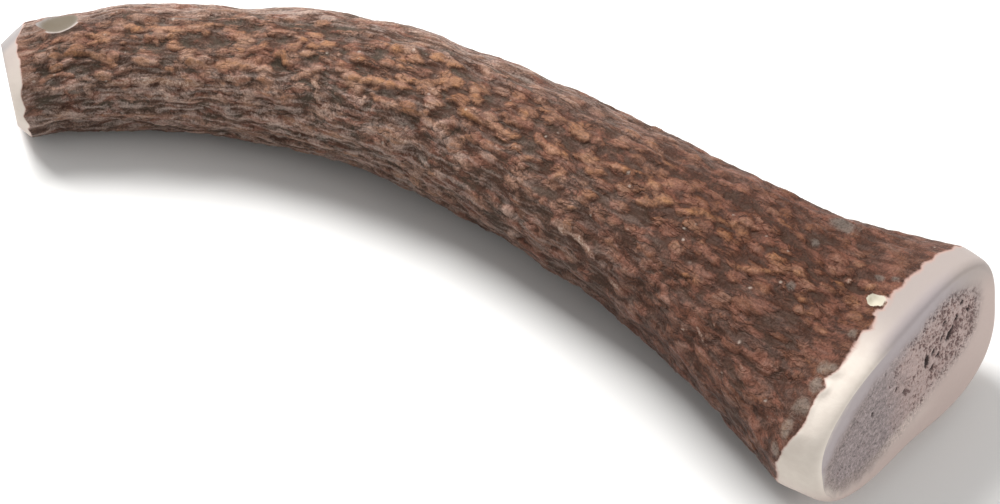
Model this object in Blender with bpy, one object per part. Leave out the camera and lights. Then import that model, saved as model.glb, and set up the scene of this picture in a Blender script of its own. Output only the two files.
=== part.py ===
"""Deer antler dog chew: one length of antler beam, sawn at both ends.

The piece lies on its side, with the bend of the beam in the horizontal plane. It grew as one
piece, so it is one closed solid: a tapering, curved oval tube of bark-covered bone that flares
towards the wide cut, with knobbly ridges along it and both cut edges ground back to bare bone.

Sizes below are millimetres. The finished mesh is in metres, +Z up, with its origin at the middle
of the bottom of its box.
"""
import math

import bpy
import numpy as np
from mathutils import Vector, noise

MM = 0.001

# The beam, from the narrow cut to the wide cut. Each station has the place of the beam's middle
# in plan, the half width across the bend, the half height, and how far the underside is lifted.
STATIONS = (
    (-92.7, 34.0, 11.7, 10.3, 0.3),
    (-81.0, 36.8, 12.8, 11.5, 0.0),
    (-66.5, 37.0, 13.2, 12.4, 0.0),
    (-50.5, 35.2, 13.7, 12.8, 0.0),
    (-34.9, 31.8, 14.8, 13.6, 0.0),
    (-19.7, 25.6, 15.5, 14.2, 0.0),
    (-4.1, 16.6, 16.0, 14.4, 0.0),
    (10.8, 5.0, 16.5, 14.6, 0.0),
    (25.0, -7.0, 17.3, 14.9, 0.0),
    (37.6, -19.0, 18.9, 15.2, 0.0),
    (48.8, -30.6, 21.9, 15.3, 0.0),
    (59.0, -39.1, 27.0, 15.0, 0.0),
    (67.1, -47.0, 30.6, 16.6, 0.0),
)

# The section is an ellipse at the narrow end. Over the flare it becomes a fuller oval, which is
# taller on the outer side of the bend.
FLARE_REACH = 90.0
FLARE_FULLNESS = 0.58
FLARE_EGG = 0.145

# The wide cut isn't square to the beam: its top leans back, and it is turned a little in plan.
CUT_LEAN = math.radians(11.0)
CUT_LEAN_REACH = 25.0
CUT_LEAN_POWER = 1.5
CUT_TURN = math.radians(5.0)
CUT_TURN_REACH = 30.0
CUT_TURN_POWER = 2.0

# How wide and how deep the edges of the cuts are ground, every 30 degrees round the beam from the
# outer side of the bend over the top.
WIDE_RIM_WIDTH = (4.4, 3.7, 3.1, 2.4, 3.1, 3.9, 4.6, 4.6, 4.6, 4.6, 4.5, 4.4)
WIDE_RIM_DEPTH = (8.0, 8.7, 9.0, 10.4, 8.4, 5.8, 10.6, 12.0, 11.0, 9.8, 8.5, 8.0)
WIDE_RIM_POWER = 1.1
NARROW_RIM_WIDTH = (3.2, 3.2, 3.2, 3.2, 3.2, 3.2, 3.2, 3.1, 3.0, 3.0, 3.0, 3.1)
NARROW_RIM_DEPTH = (6.0, 7.0, 6.6, 5.2, 3.8, 2.9, 2.7, 2.8, 3.0, 3.4, 4.0, 5.0)
NARROW_RIM_POWER = 1.2

# The wide cut's ground edge is rounded over into the cut.
WIDE_ROUND_WIDTH = 1.2
WIDE_ROUND_DEPTH = 2.2

# The bark: broad swellings, and ridges along the beam with furrows between them. The stations
# above follow the tops of the ridges.
SWELLING_LENGTH = 17.0
SWELLING_DEPTH = 0.5
RIDGE_PITCH = 3.3
RIDGE_LENGTH = 12.0
RIDGE_WAVER_LENGTH = 15.0
RIDGE_WAVER = 2.6
RIDGE_WAVER_SHIFTS = (Vector((7.0, 0.0, 0.0)), Vector((19.0, 0.0, 0.0)))
RIDGE_SHARPNESS = 1.5
FURROW_SHARE = 0.42
FURROW_DEPTH = 0.8
RELIEF_SEED = Vector((37.0, 11.0, 5.0))

# How finely the surface is divided.
SEGMENTS_AROUND = 88
RINGS_ALONG = 38
WIDE_RIM_RINGS = (0.0, 0.3, 0.9, 2.0, 3.6, 5.4, 7.4, 9.6, 12.0)
NARROW_RIM_RINGS = (0.0, 0.9, 1.9, 3.2, 5.0, 7.0)

BARK_BROWN = (0.118, 0.062, 0.043, 1.0)
BARK_ROUGHNESS = 0.55


def spline(knots, values, at):
    """Read a natural cubic curve through the values at the knots."""
    gaps = np.diff(knots)
    slopes = np.diff(values, axis=0) / gaps[:, None]
    system = np.eye(len(knots))
    right_side = np.zeros_like(values)
    for i in range(1, len(knots) - 1):
        system[i, i - 1:i + 2] = gaps[i - 1], 2 * (gaps[i - 1] + gaps[i]), gaps[i]
        right_side[i] = 6 * (slopes[i] - slopes[i - 1])
    bends = np.linalg.solve(system, right_side)
    k = np.clip(np.searchsorted(knots, at) - 1, 0, len(knots) - 2)
    u = (at - knots[k])[:, None]
    gap = gaps[k][:, None]
    start = slopes[k] - gap * (2 * bends[k] + bends[k + 1]) / 6
    return values[k] + u * start + u**2 * bends[k] / 2 + u**3 * (bends[k + 1] - bends[k]) / (6 * gap)


STATION_TABLE = np.array(STATIONS)
STATION_KNOTS = np.concatenate([[0.0], np.cumsum(np.hypot(*np.diff(STATION_TABLE[:, :2], axis=0).T))])
BEAM_LENGTH = STATION_KNOTS[-1]


def blend_in(distance, reach, power):
    """Go from 0 at the reach to 1 at the cut."""
    return np.clip(1 - distance / reach, 0, 1) ** power


def around(values, angle):
    """Blend evenly spaced values round the section, from the outer side over the top."""
    steps = np.linspace(0, 2 * math.pi, len(values) + 1)
    return np.interp(angle, steps, [*values, values[0]])


def section_frame(along):
    """Give the beam's middle, its sizes and its three directions at a distance along it."""
    at = np.array([along, max(along - 0.05, 0.0), min(along + 0.05, BEAM_LENGTH)])
    (x, y, half_width, half_height, lift), before, after = spline(STATION_KNOTS, STATION_TABLE, at)
    heading = math.atan2(after[1] - before[1], after[0] - before[0])
    to_cut = BEAM_LENGTH - along
    heading += CUT_TURN * blend_in(to_cut, CUT_TURN_REACH, CUT_TURN_POWER)
    lean = CUT_LEAN * blend_in(to_cut, CUT_LEAN_REACH, CUT_LEAN_POWER)
    forward = np.array([math.cos(heading), math.sin(heading), 0.0])
    outward = np.array([-forward[1], forward[0], 0.0])
    upward = np.array([0.0, 0.0, math.cos(lean)]) - forward * math.sin(lean)
    return np.array([x, y, half_height + lift]), half_width, half_height, outward, upward


def section_outline(along, half_width, half_height, angle):
    """Give the oval section's width and height coordinates at an angle round it."""
    flare = blend_in(BEAM_LENGTH - along, FLARE_REACH, 1.0)
    power = 2 / (2 + FLARE_FULLNESS * flare)
    c, s = math.cos(angle), math.sin(angle)
    width = math.copysign(abs(c) ** power, c)
    height = math.copysign(abs(s) ** power, s)
    return half_width * width, half_height * height * (1 + FLARE_EGG * width * flare)


def bark_depth(width, height, along):
    """Give how far the bark lies below the beam's outline, in millimetres."""
    place = Vector((width, height, along)) + RELIEF_SEED
    swelling = 0.5 + 0.5 * noise.noise(place / SWELLING_LENGTH)
    sideways, upwards = (RIDGE_WAVER * noise.noise(place / RIDGE_WAVER_LENGTH + shift)
                         for shift in RIDGE_WAVER_SHIFTS)
    grain = Vector(((place.x + sideways) / RIDGE_PITCH, (place.y + upwards) / RIDGE_PITCH,
                    place.z / RIDGE_LENGTH))
    furrow = min(max(FURROW_SHARE - RIDGE_SHARPNESS * noise.noise(grain), 0.0), 1.0)
    return SWELLING_DEPTH * swelling + FURROW_DEPTH * furrow


def ground_depth(along, angle):
    """Give how far the edges of the two cuts are ground back from the beam's outline."""
    wide = around(WIDE_RIM_WIDTH, angle) * blend_in(
        BEAM_LENGTH - along, around(WIDE_RIM_DEPTH, angle), WIDE_RIM_POWER)
    narrow = around(NARROW_RIM_WIDTH, angle) * blend_in(
        along, around(NARROW_RIM_DEPTH, angle), NARROW_RIM_POWER)
    rounding = 1 - math.sqrt(1 - blend_in(BEAM_LENGTH - along, WIDE_ROUND_DEPTH, 2.0))
    return wide + narrow + WIDE_ROUND_WIDTH * rounding


def ring_distances():
    """Give the distances along the beam of all rings, closer together on the ground edges."""
    first = NARROW_RIM_RINGS[-1]
    last = BEAM_LENGTH - WIDE_RIM_RINGS[-1]
    bark = np.linspace(first, last, RINGS_ALONG)
    wide = [BEAM_LENGTH - d for d in reversed(WIDE_RIM_RINGS[:-1])]
    return [*NARROW_RIM_RINGS[:-1], *bark, *wide]


def surface_ring(along):
    """Give the points round the beam at one distance along it."""
    middle, half_width, half_height, outward, upward = section_frame(along)
    on_cut = along in (0.0, BEAM_LENGTH)
    points = []
    for step in range(SEGMENTS_AROUND):
        angle = 2 * math.pi * step / SEGMENTS_AROUND
        width, height = section_outline(along, half_width, half_height, angle)
        depth = ground_depth(along, angle)
        if not on_cut:
            depth = max(depth, bark_depth(width, height, along))
        keep = 1 - depth / math.hypot(width, height)
        points.append(middle + (outward * width + upward * height) * keep)
    return points


def chew_surface():
    """Give the vertices, in millimetres, and the faces of the whole closed surface."""
    points = []
    faces = []
    for row, along in enumerate(ring_distances()):
        points.extend(surface_ring(along))
        here = row * SEGMENTS_AROUND
        below = here - SEGMENTS_AROUND
        for step in range(SEGMENTS_AROUND if row else 0):
            beside = (step + 1) % SEGMENTS_AROUND
            faces.append((below + step, below + beside, here + beside, here + step))
    narrow_cut = range(SEGMENTS_AROUND)
    wide_cut = range(len(points) - SEGMENTS_AROUND, len(points))
    faces.append(tuple(reversed(narrow_cut)))
    faces.append(tuple(wide_cut))
    return np.array(points), faces


def stand_on_origin(points):
    """Put the middle of the bottom of the box at the origin."""
    low, high = points.min(axis=0), points.max(axis=0)
    return points - np.array([(low[0] + high[0]) / 2, (low[1] + high[1]) / 2, low[2]])


def bark_material():
    material = bpy.data.materials.new("antler_bark")
    material.use_nodes = True
    shader = material.node_tree.nodes["Principled BSDF"]
    shader.inputs["Base Color"].default_value = BARK_BROWN
    shader.inputs["Roughness"].default_value = BARK_ROUGHNESS
    shader.inputs["Metallic"].default_value = 0.0
    return material


def build_chew():
    points, faces = chew_surface()
    points = stand_on_origin(points) * MM
    mesh = bpy.data.meshes.new("antler_chew")
    mesh.from_pydata([tuple(point) for point in points], [], faces)
    mesh.validate()
    mesh.shade_smooth()
    mesh.set_sharp_from_angle(angle=math.radians(35))
    mesh.materials.append(bark_material())
    chew = bpy.data.objects.new("antler_chew", mesh)
    bpy.context.scene.collection.objects.link(chew)


for leftover in list(bpy.data.objects):
    bpy.data.objects.remove(leftover, do_unlink=True)
build_chew()
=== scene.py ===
"""Deer antler dog chew: the look of one sawn length of antler, laid out as an add-on.

The antler is one closed mesh that stands for the CAD node antler_chew. Its outline is worked out
from the same stations as the solid. A geometry tree then sinks the bark's furrows and the pores
of the marrow into it, and the materials draw their colours from the same pattern of ridges.

Sizes are millimetres on the straightened beam unless a name says otherwise, and metres in Blender.
"""

import math

import bpy
import numpy as np
from mathutils import Matrix, Vector, geometry, noise


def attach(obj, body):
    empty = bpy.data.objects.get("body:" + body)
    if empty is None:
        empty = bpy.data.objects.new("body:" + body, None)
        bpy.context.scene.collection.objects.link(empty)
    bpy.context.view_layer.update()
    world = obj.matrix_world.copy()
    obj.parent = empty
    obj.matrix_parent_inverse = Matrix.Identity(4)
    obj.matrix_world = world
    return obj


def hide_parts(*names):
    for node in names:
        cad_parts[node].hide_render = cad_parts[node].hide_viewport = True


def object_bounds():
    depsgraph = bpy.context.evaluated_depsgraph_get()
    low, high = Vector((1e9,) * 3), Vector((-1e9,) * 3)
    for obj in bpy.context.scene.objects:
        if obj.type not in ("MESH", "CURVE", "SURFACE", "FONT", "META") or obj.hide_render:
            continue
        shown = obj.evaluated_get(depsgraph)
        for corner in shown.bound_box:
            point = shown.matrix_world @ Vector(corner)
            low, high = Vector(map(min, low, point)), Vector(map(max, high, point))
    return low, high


bl_info = {
    "name": "Deer Antler Chew",
    "version": (1, 0, 0),
    "blender": (4, 5, 0),
    "location": "View3D > Sidebar > Antler",
    "description": "Builds a sawn length of deer antler and the plain studio it is shown in",
    "category": "Add Mesh",
}

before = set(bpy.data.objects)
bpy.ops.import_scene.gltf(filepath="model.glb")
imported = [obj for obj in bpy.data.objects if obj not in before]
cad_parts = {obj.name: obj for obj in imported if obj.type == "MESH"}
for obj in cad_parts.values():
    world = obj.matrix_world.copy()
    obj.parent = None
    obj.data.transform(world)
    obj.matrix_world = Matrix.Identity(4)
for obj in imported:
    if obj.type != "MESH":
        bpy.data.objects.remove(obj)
CAD_LOW, CAD_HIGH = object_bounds()

MM = 0.001
NODE = "antler_chew"
BODY = "root"


# Outline of the beam, as in the solid

# Middle in plan (x, y), half width, half height and lift of the underside
STATIONS = np.array((
    (-92.7, 34.0, 11.7, 10.3, 0.3),
    (-81.0, 36.8, 12.8, 11.5, 0.0),
    (-66.5, 37.0, 13.2, 12.4, 0.0),
    (-50.5, 35.2, 13.7, 12.8, 0.0),
    (-34.9, 31.8, 14.8, 13.6, 0.0),
    (-19.7, 25.6, 15.5, 14.2, 0.0),
    (-4.1, 16.6, 16.0, 14.4, 0.0),
    (10.8, 5.0, 16.5, 14.6, 0.0),
    (25.0, -7.0, 17.3, 14.9, 0.0),
    (37.6, -19.0, 18.9, 15.2, 0.0),
    (48.8, -30.6, 21.9, 15.3, 0.0),
    (59.0, -39.1, 27.0, 15.0, 0.0),
    (67.1, -47.0, 30.6, 16.6, 0.0),
))
KNOTS = np.concatenate([[0.0], np.cumsum(np.hypot(*np.diff(STATIONS[:, :2], axis=0).T))])
LENGTH = KNOTS[-1]

FLARE_REACH, FLARE_FULLNESS, FLARE_EGG = 90.0, 0.58, 0.145
CUT_LEAN, CUT_LEAN_REACH, CUT_LEAN_POWER = math.radians(11.0), 25.0, 1.5
CUT_TURN, CUT_TURN_REACH, CUT_TURN_POWER = math.radians(5.0), 30.0, 2.0
# How far to each side the beam's heading is read
HEADING_STEP = 0.05

# Ground edges, every 30 degrees from the outer side of the bend over the top
WIDE_RIM_WIDTH = (4.4, 3.7, 3.1, 2.4, 3.1, 3.9, 4.6, 4.6, 4.6, 4.6, 4.5, 4.4)
WIDE_RIM_DEPTH = (8.0, 8.7, 9.0, 10.4, 8.4, 5.8, 10.6, 12.0, 11.0, 9.8, 8.5, 8.0)
WIDE_RIM_POWER = 1.1
# Rounding between the ground edge and the wide cut, into the beam and along it
WIDE_ROUND_WIDTH, WIDE_ROUND_DEPTH = 1.2, 2.2
NARROW_RIM_WIDTH = (3.2, 3.2, 3.2, 3.2, 3.2, 3.2, 3.2, 3.1, 3.0, 3.0, 3.0, 3.1)
NARROW_RIM_DEPTH = (6.0, 7.0, 6.6, 5.2, 3.8, 2.9, 2.7, 2.8, 3.0, 3.4, 4.0, 5.0)
NARROW_RIM_POWER = 1.2

# Broad relief of the bark, as in the solid
SWELLING_LENGTH, SWELLING_DEPTH = 17.0, 0.5
RIDGE_PITCH, RIDGE_LENGTH = 3.3, 12.0
RIDGE_WAVER_LENGTH, RIDGE_WAVER = 15.0, 2.6
RIDGE_WAVER_SHIFTS = (Vector((7.0, 0.0, 0.0)), Vector((19.0, 0.0, 0.0)))
RIDGE_SHARPNESS, FURROW_SHARE, FURROW_DEPTH = 1.5, 0.42, 0.8
RELIEF_SEED = Vector((37.0, 11.0, 5.0))

# How finely the surface is divided. A cut's grain is the length of its triangles, its margin is
# how many of those lengths stay free inside its edge, and points closer than its weld are one.
ROUND = np.linspace(0, 2 * math.pi, 721)
SEGMENTS_AROUND, RINGS_ALONG = 220, 354
WIDE_RIM_RINGS, NARROW_RIM_RINGS = 28, 18
RIM_RING_REACH_WIDE, RIM_RING_REACH_NARROW, RIM_RING_CROWDING = 12.0, 7.0, 1.3
WIDE_CUT_GRAIN, NARROW_CUT_GRAIN, CUT_MARGIN, CUT_WELD = 0.36, 0.5, 0.7, 1e-6

# Outline of the marrow on the wide cut, across to the outer side and up from the beam's middle.
# On the narrow cut it is a share of the cut's own outline.
WIDE_MARROW = np.array((
    (16.5, 9.7), (20.3, 7.4), (21.1, 4.0), (19.4, -1.6), (13.8, -3.9), (7.7, -4.8), (0.5, -6.6),
    (-7.5, -7.5), (-15.7, -7.2), (-21.8, -5.2), (-24.2, -1.8), (-23.6, 1.6), (-18.8, 4.9),
    (-14.4, 7.2), (-9.3, 9.0), (-3.1, 9.8), (2.1, 10.1), (5.3, 11.0), (8.9, 11.6), (12.7, 11.4),
))
NARROW_MARROW_SHARE = 0.55
MARROW_FADE = 8.0

# Big open pores on the wide cut: across, up, length, width and turn
PITS = (
    (12.0, 3.2, 3.2, 1.7, 25), (5.0, 2.2, 2.6, 1.5, 80), (6.5, 0.0, 1.5, 1.1, 30),
    (6.9, 2.9, 1.6, 1.0, 60), (8.2, 1.4, 1.2, 0.9, 0), (-3.8, 3.0, 1.0, 0.8, 60),
    (-1.7, 0.9, 1.0, 0.8, 60), (-10.6, 2.9, 0.9, 0.7, 0), (13.9, 5.1, 1.4, 1.0, 30),
    (10.4, 6.6, 1.3, 0.9, 10), (15.6, 7.3, 1.2, 0.9, 0), (17.6, 4.6, 1.4, 0.9, 70),
    (9.6, 4.1, 1.6, 0.9, 40),
)


def spline(knots, values, at):
    """Read a natural cubic curve through the values at the knots."""
    gaps = np.diff(knots)
    slopes = np.diff(values, axis=0) / gaps[:, None]
    system = np.eye(len(knots))
    right_side = np.zeros_like(values)
    for i in range(1, len(knots) - 1):
        system[i, i - 1:i + 2] = gaps[i - 1], 2 * (gaps[i - 1] + gaps[i]), gaps[i]
        right_side[i] = 6 * (slopes[i] - slopes[i - 1])
    bends = np.linalg.solve(system, right_side)
    k = np.clip(np.searchsorted(knots, at) - 1, 0, len(knots) - 2)
    u = (at - knots[k])[:, None]
    gap = gaps[k][:, None]
    start = slopes[k] - gap * (2 * bends[k] + bends[k + 1]) / 6
    return values[k] + u * start + u**2 * bends[k] / 2 + u**3 * (bends[k + 1] - bends[k]) / (6 * gap)


def blend_in(distance, reach, power):
    """Go from 0 at the reach to 1 at the cut."""
    return np.clip(1 - distance / reach, 0, 1) ** power


def around(values, angle):
    """Blend evenly spaced values round the section, from the outer side over the top."""
    return np.interp(angle, np.linspace(0, 2 * math.pi, len(values) + 1), [*values, values[0]])


def section_frames(along):
    """Give the beam's middle, its sizes and its outward, upward and forward directions."""
    sizes = spline(KNOTS, STATIONS, along)
    ahead = spline(KNOTS, STATIONS, np.minimum(along + HEADING_STEP, LENGTH))
    behind = spline(KNOTS, STATIONS, np.maximum(along - HEADING_STEP, 0.0))
    heading = np.arctan2(*(ahead - behind)[:, 1::-1].T)
    heading += CUT_TURN * blend_in(LENGTH - along, CUT_TURN_REACH, CUT_TURN_POWER)
    lean = CUT_LEAN * blend_in(LENGTH - along, CUT_LEAN_REACH, CUT_LEAN_POWER)
    level = np.zeros(len(along))
    forward = np.stack([np.cos(heading), np.sin(heading), level], axis=1)
    outward = np.stack([-forward[:, 1], forward[:, 0], level], axis=1)
    upward = np.stack([level, level, np.cos(lean)], axis=1) - forward * np.sin(lean)[:, None]
    middle = np.stack([sizes[:, 0], sizes[:, 1], sizes[:, 3] + sizes[:, 4]], axis=1)
    return middle, sizes[:, 2], sizes[:, 3], outward, upward


def section_outline(along, half_width, half_height, angle):
    """Give the oval section's width and height coordinates at an angle round it."""
    flare = blend_in(LENGTH - along, FLARE_REACH, 1.0)
    power = 2 / (2 + FLARE_FULLNESS * flare)
    c, s = np.cos(angle), np.sin(angle)
    width = np.copysign(np.abs(c) ** power, c)
    height = np.copysign(np.abs(s) ** power, s)
    return half_width * width, half_height * height * (1 + FLARE_EGG * width * flare)


def even_angles(along, half_width, half_height):
    """Give angles that are evenly spaced along the outline of one section."""
    width, height = section_outline(along, half_width, half_height, ROUND)
    run = np.concatenate([[0.0], np.cumsum(np.hypot(np.diff(width), np.diff(height)))])
    steps = np.linspace(0, run[-1], SEGMENTS_AROUND, endpoint=False)
    return np.interp(steps, run, ROUND)


def ground_depth(along, angle):
    """Give how far the edges of the two cuts are ground back from the outline."""
    wide = around(WIDE_RIM_WIDTH, angle) * blend_in(
        LENGTH - along, around(WIDE_RIM_DEPTH, angle), WIDE_RIM_POWER)
    narrow = around(NARROW_RIM_WIDTH, angle) * blend_in(
        along, around(NARROW_RIM_DEPTH, angle), NARROW_RIM_POWER)
    rounding = 1 - math.sqrt(1 - blend_in(LENGTH - along, WIDE_ROUND_DEPTH, 2.0))
    return wide + narrow + WIDE_ROUND_WIDTH * rounding


def bark_depth(width, height, along):
    """Give how far the broad relief of the bark lies below the outline."""
    place = Vector((width, height, along)) + RELIEF_SEED
    swelling = 0.5 + 0.5 * noise.noise(place / SWELLING_LENGTH)
    sideways, upwards = (RIDGE_WAVER * noise.noise(place / RIDGE_WAVER_LENGTH + shift)
                         for shift in RIDGE_WAVER_SHIFTS)
    grain = Vector(((place.x + sideways) / RIDGE_PITCH, (place.y + upwards) / RIDGE_PITCH,
                    place.z / RIDGE_LENGTH))
    furrow = min(max(FURROW_SHARE - RIDGE_SHARPNESS * noise.noise(grain), 0.0), 1.0)
    return SWELLING_DEPTH * swelling + FURROW_DEPTH * furrow


# Single marks on the bark. Each is the distance along the beam, the degrees round it from the
# outer side over the top, its length and width, and how far it is turned out of the beam's line.

# Beads of bark that stand up, rubbed to orange and tan
BEADS = (
    (17.8, 126, 2.2, 1.6, 20), (20.2, 112, 2.8, 2.2, 40), (23.8, 116, 2.4, 1.2, 10),
    (28.2, 110, 2.4, 1.8, 60), (32.6, 109, 1.7, 1.6, 0), (26.0, 101, 4.6, 2.4, -5),
    (39.3, 103, 2.1, 2.8, 0), (45.6, 103, 4.6, 3.6, 10), (43.4, 97, 3.4, 2.4, 20),
    (50.8, 112, 2.2, 3.2, 0), (57.0, 111, 3.8, 2.9, -10), (58.4, 103, 2.4, 2.3, 0),
    (63.5, 102, 4.4, 3.0, -15), (52.2, 140, 3.0, 2.2, 10), (64.3, 126, 1.8, 1.7, 0),
    (73.6, 147, 2.4, 1.1, 10), (71.0, 111, 4.4, 1.6, -15), (53.5, 93, 4.0, 2.2, 10),
    (16.2, 148, 2.6, 0.9, 0), (33.2, 139, 2.4, 1.6, 0), (77.5, 136, 4.4, 1.7, 0),
    (94.8, 103, 4.2, 2.4, 50), (105.5, 101, 4.0, 2.1, 35), (84.3, 86, 4.8, 3.0, -15),
    (76.0, 93, 3.4, 1.5, -10), (110.8, 131, 4.4, 1.6, -30), (118.4, 150, 1.5, 1.4, 0),
    (118.6, 147, 1.8, 1.2, 0), (123.6, 125, 3.0, 1.6, -10), (118.2, 130, 5.0, 1.5, -50),
    (134.6, 102, 3.4, 3.2, 0), (165.6, 99, 2.4, 1.8, 30), (160.5, 98, 3.6, 1.8, -10),
    (172.4, 85, 2.4, 2.6, 30), (172.6, 65, 3.2, 3.0, 0), (177.6, 78, 2.3, 2.6, 0),
    (178.0, 96, 2.2, 1.8, 0), (176.0, 124, 2.6, 1.2, 5), (177.2, 141, 2.8, 0.9, 8),
    (151.8, 139, 2.8, 1.0, -20), (169.0, 112, 2.4, 1.6, 0), (101.5, 99, 2.2, 1.8, 0),
)
# Ridges that run on: the width, then places along the ridge
RUBBED_RIDGES = (
    (1.4, ((8.5, 120), (12, 121.5), (16, 124), (18, 126.5), (20.5, 131), (23, 138))),
    (1.4, ((9, 104), (13, 99), (16, 101), (19, 107), (20.5, 112))),
    (2.3, ((29, 102), (33, 102), (37, 98), (40, 92))),
    (2.7, ((36.5, 132), (40, 136), (44, 131), (48, 129), (50, 126))),
    (1.6, ((58.5, 137), (61.5, 132), (64, 126))),
    (1.8, ((70.5, 126.5), (74, 125.5), (78, 122), (83, 120))),
    (1.4, ((82.5, 139), (86, 136), (89, 132))),
    (2.0, ((83.5, 115), (86, 110), (88.5, 103))),
    (1.6, ((94, 122), (98, 121.5), (101, 120.5), (106, 121), (108, 118))),
    (1.8, ((110.5, 111), (113, 114.5), (116.3, 116))),
    (1.8, ((118.5, 111), (121, 106.5), (124, 105.5), (127, 103.5), (130, 98), (133, 94))),
    (2.4, ((134, 116), (137, 113), (139.5, 106))),
    (2.1, ((141.5, 109), (144, 101), (147.5, 97.5), (150, 95), (153.5, 93))),
    (1.6, ((157.5, 119), (160, 112.5), (162, 106))),
    (0.8, ((5.5, 146), (8, 140), (11, 140.5), (13.5, 145))),
    (0.7, ((7.5, 152), (9.5, 153.5), (12, 151.5))),
    (0.7, ((121.5, 142), (123.5, 143.5), (126, 141))),
)
# Places rubbed or scraped down to paler bone
SCRAPES = (
    (67.2, 154, 4.6, 2.0, -35), (88.7, 128, 4.2, 1.5, 0), (109.0, 125, 4.5, 0.9, -15),
    (138.5, 171.5, 6.0, 1.5, 0), (156.5, 163, 1.8, 0.9, -20), (167.0, 158.5, 1.0, 0.9, 0),
    (140.7, 131.5, 2.6, 0.8, 10), (136.2, 136.5, 1.3, 0.9, 0), (55.4, 98.5, 1.3, 1.5, 0),
    (66.7, 111, 1.3, 1.0, 0), (72.6, 113, 1.4, 0.8, 0), (46.0, 143.5, 3.8, 1.1, -10),
    (181.6, 84.5, 3.4, 2.6, 20), (173.2, 79, 1.6, 1.3, 0), (160.7, 150, 1.0, 1.2, 0),
    (127.5, 137, 2.2, 0.8, 0), (104.0, 174, 1.6, 0.9, -30), (97.0, 116, 1.1, 0.9, 0),
)
SCRAPED_LINES = (
    (0.9, ((63, 137.5), (65, 141), (64.5, 146), (66, 152))),
    (1.2, ((123.5, 158.5), (128, 158), (131, 161), (133, 163))),
    (0.8, ((158, 156.5), (160, 161), (162, 163.5))),
    (1.3, ((20.5, 153), (25, 151.5), (31, 151), (36, 152.5), (39, 151))),
    (0.5, ((71, 157), (73.5, 159.5), (79, 158.5))),
    (0.5, ((82, 157), (85, 159), (89, 158))),
    (0.5, ((52, 172), (55, 175), (58, 177.5))),
)
# Hollows that hold dark stain
STAINS = (
    (9.3, 147.5, 4.0, 2.2, 8), (15.0, 135.5, 11.0, 2.4, 4), (6.0, 163, 8.0, 5.0, 0),
    (42.0, 114, 3.6, 3.0, 0), (36.0, 114, 4.6, 2.6, 0), (37.0, 140, 4.0, 1.4, 0),
    (12.0, 94.5, 9.0, 2.0, 0), (60.0, 83, 24.0, 1.6, -2), (44.0, 87.5, 9.0, 1.6, 0),
    (82.0, 98, 8.0, 1.0, -5), (79.0, 131, 6.0, 1.2, -10), (104.0, 129, 7.0, 1.4, 0),
    (86.5, 77, 6.5, 1.4, 25), (96.0, 72, 12.0, 0.8, 0), (121.0, 76, 3.0, 3.0, 0),
    (156.6, 112, 4.0, 2.6, 0), (117.0, 144, 7.0, 2.6, 0), (74.0, 104, 3.0, 2.6, 0),
    (162.0, 92, 6.0, 0.8, -20), (25.0, 124, 5.0, 1.4, 0), (31.0, 125, 5.0, 1.6, 0),
    (29.0, 118, 3.0, 2.0, 0), (62.0, 118, 3.4, 1.4, -20), (54.5, 125, 3.0, 2.4, 0),
    (91.0, 110, 2.6, 2.0, 30), (98.5, 108, 2.6, 2.0, 30), (150.0, 160, 8.0, 1.2, -15),
    (182.1, 86, 1.0, 4.4, 0),
)
# Bluish grey crust beside the ground edge and in a few hollows
CRUSTS = (
    (177.4, 68, 2.6, 2.4, 0), (163.4, 68, 3.0, 2.4, 0), (164.0, 44, 8.0, 5.0, 0),
    (180.0, 65, 3.0, 1.4, 0), (166.0, 107, 2.2, 2.0, 0), (34.0, 85, 6.0, 1.6, 0),
    (13.0, 158, 4.4, 1.2, 5), (86.0, 147, 6.0, 1.6, 0),
)
# Lumps of crust that are left standing on the ground edge
EDGE_LUMPS = (
    (182.0, 139, 5.6, 3.2, 0), (182.4, 147.5, 5.2, 4.0, 10), (182.2, 155.5, 5.4, 4.4, -10),
    (181.6, 163.5, 3.8, 4.2, 0), (180.6, 172.5, 3.2, 3.4, 0), (181.4, 116, 3.4, 2.4, 0),
)
LUMP_STANDING = 0.75
# Where a mark ends and how softly, as shares of its half size
MARK_END, MARK_SOFTNESS = 1.35, 1.05
# Length and size of the unevenness of every mark's edge, and of the gaps in ridges and lines
MARK_WOBBLE, LINE_GAPS = (1.5, 0.35), (2.6, 0.7)
# How much wider lines are drawn, the share of that at their ends, how much it grows from one of
# their places to the next, and the steps per place
LINE_SWELL, LINE_END, LINE_TAPER, LINE_STEPS = 1.15, 0.45, 2, 12
# Bark chipped off down to the bone beside the ground edge
CHIPS = ((180.0, 85.5, 4.4, 3.2, 15),)
CHIP_DEPTH = 1.6
# Oval spot beside the narrow cut that is sanded flat through the bark, and smooth inside its edge
SPOT_PLACE, SPOT_HALF_LENGTH, SPOT_HALF_WIDTH, SPOT_DEPTH = (11.0, 71), 5.3, 5.9, 2.1
SPOT_SMOOTH, SPOT_EDGE = 0.8, 3

# How much of the bark's ridges is rubbed warm, weathered grey and rough, every 30 degrees round
# the beam from the outer side over the top
WARMTH_ROUND = (0.35, 0.25, 0.2, 0.75, 1.0, 0.55, 0.05, 0.1, 0.4, 0.6, 0.5, 0.4)
GREYNESS_ROUND = (0.5, 0.8, 0.75, 0.25, 0.2, 0.6, 0.8, 0.7, 0.5, 0.3, 0.3, 0.4)
ROUGHNESS_ROUND = (0.7, 0.65, 0.65, 0.95, 1.0, 1.0, 1.0, 0.9, 0.8, 0.8, 0.8, 0.7)
# The warm band drifts towards the outer side and fades, and the bark reddens, over the flare
ZONE_DRIFT_START, ZONE_DRIFT_END, ZONE_DRIFT = 85.0, 150.0, 16.0
REDNESS_START, REDNESS_END = 70.0, 150.0
WARMTH_FADE, GREYNESS_FADE, ROUGHNESS_FADE = 0.45, 0.85, 0.1
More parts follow.
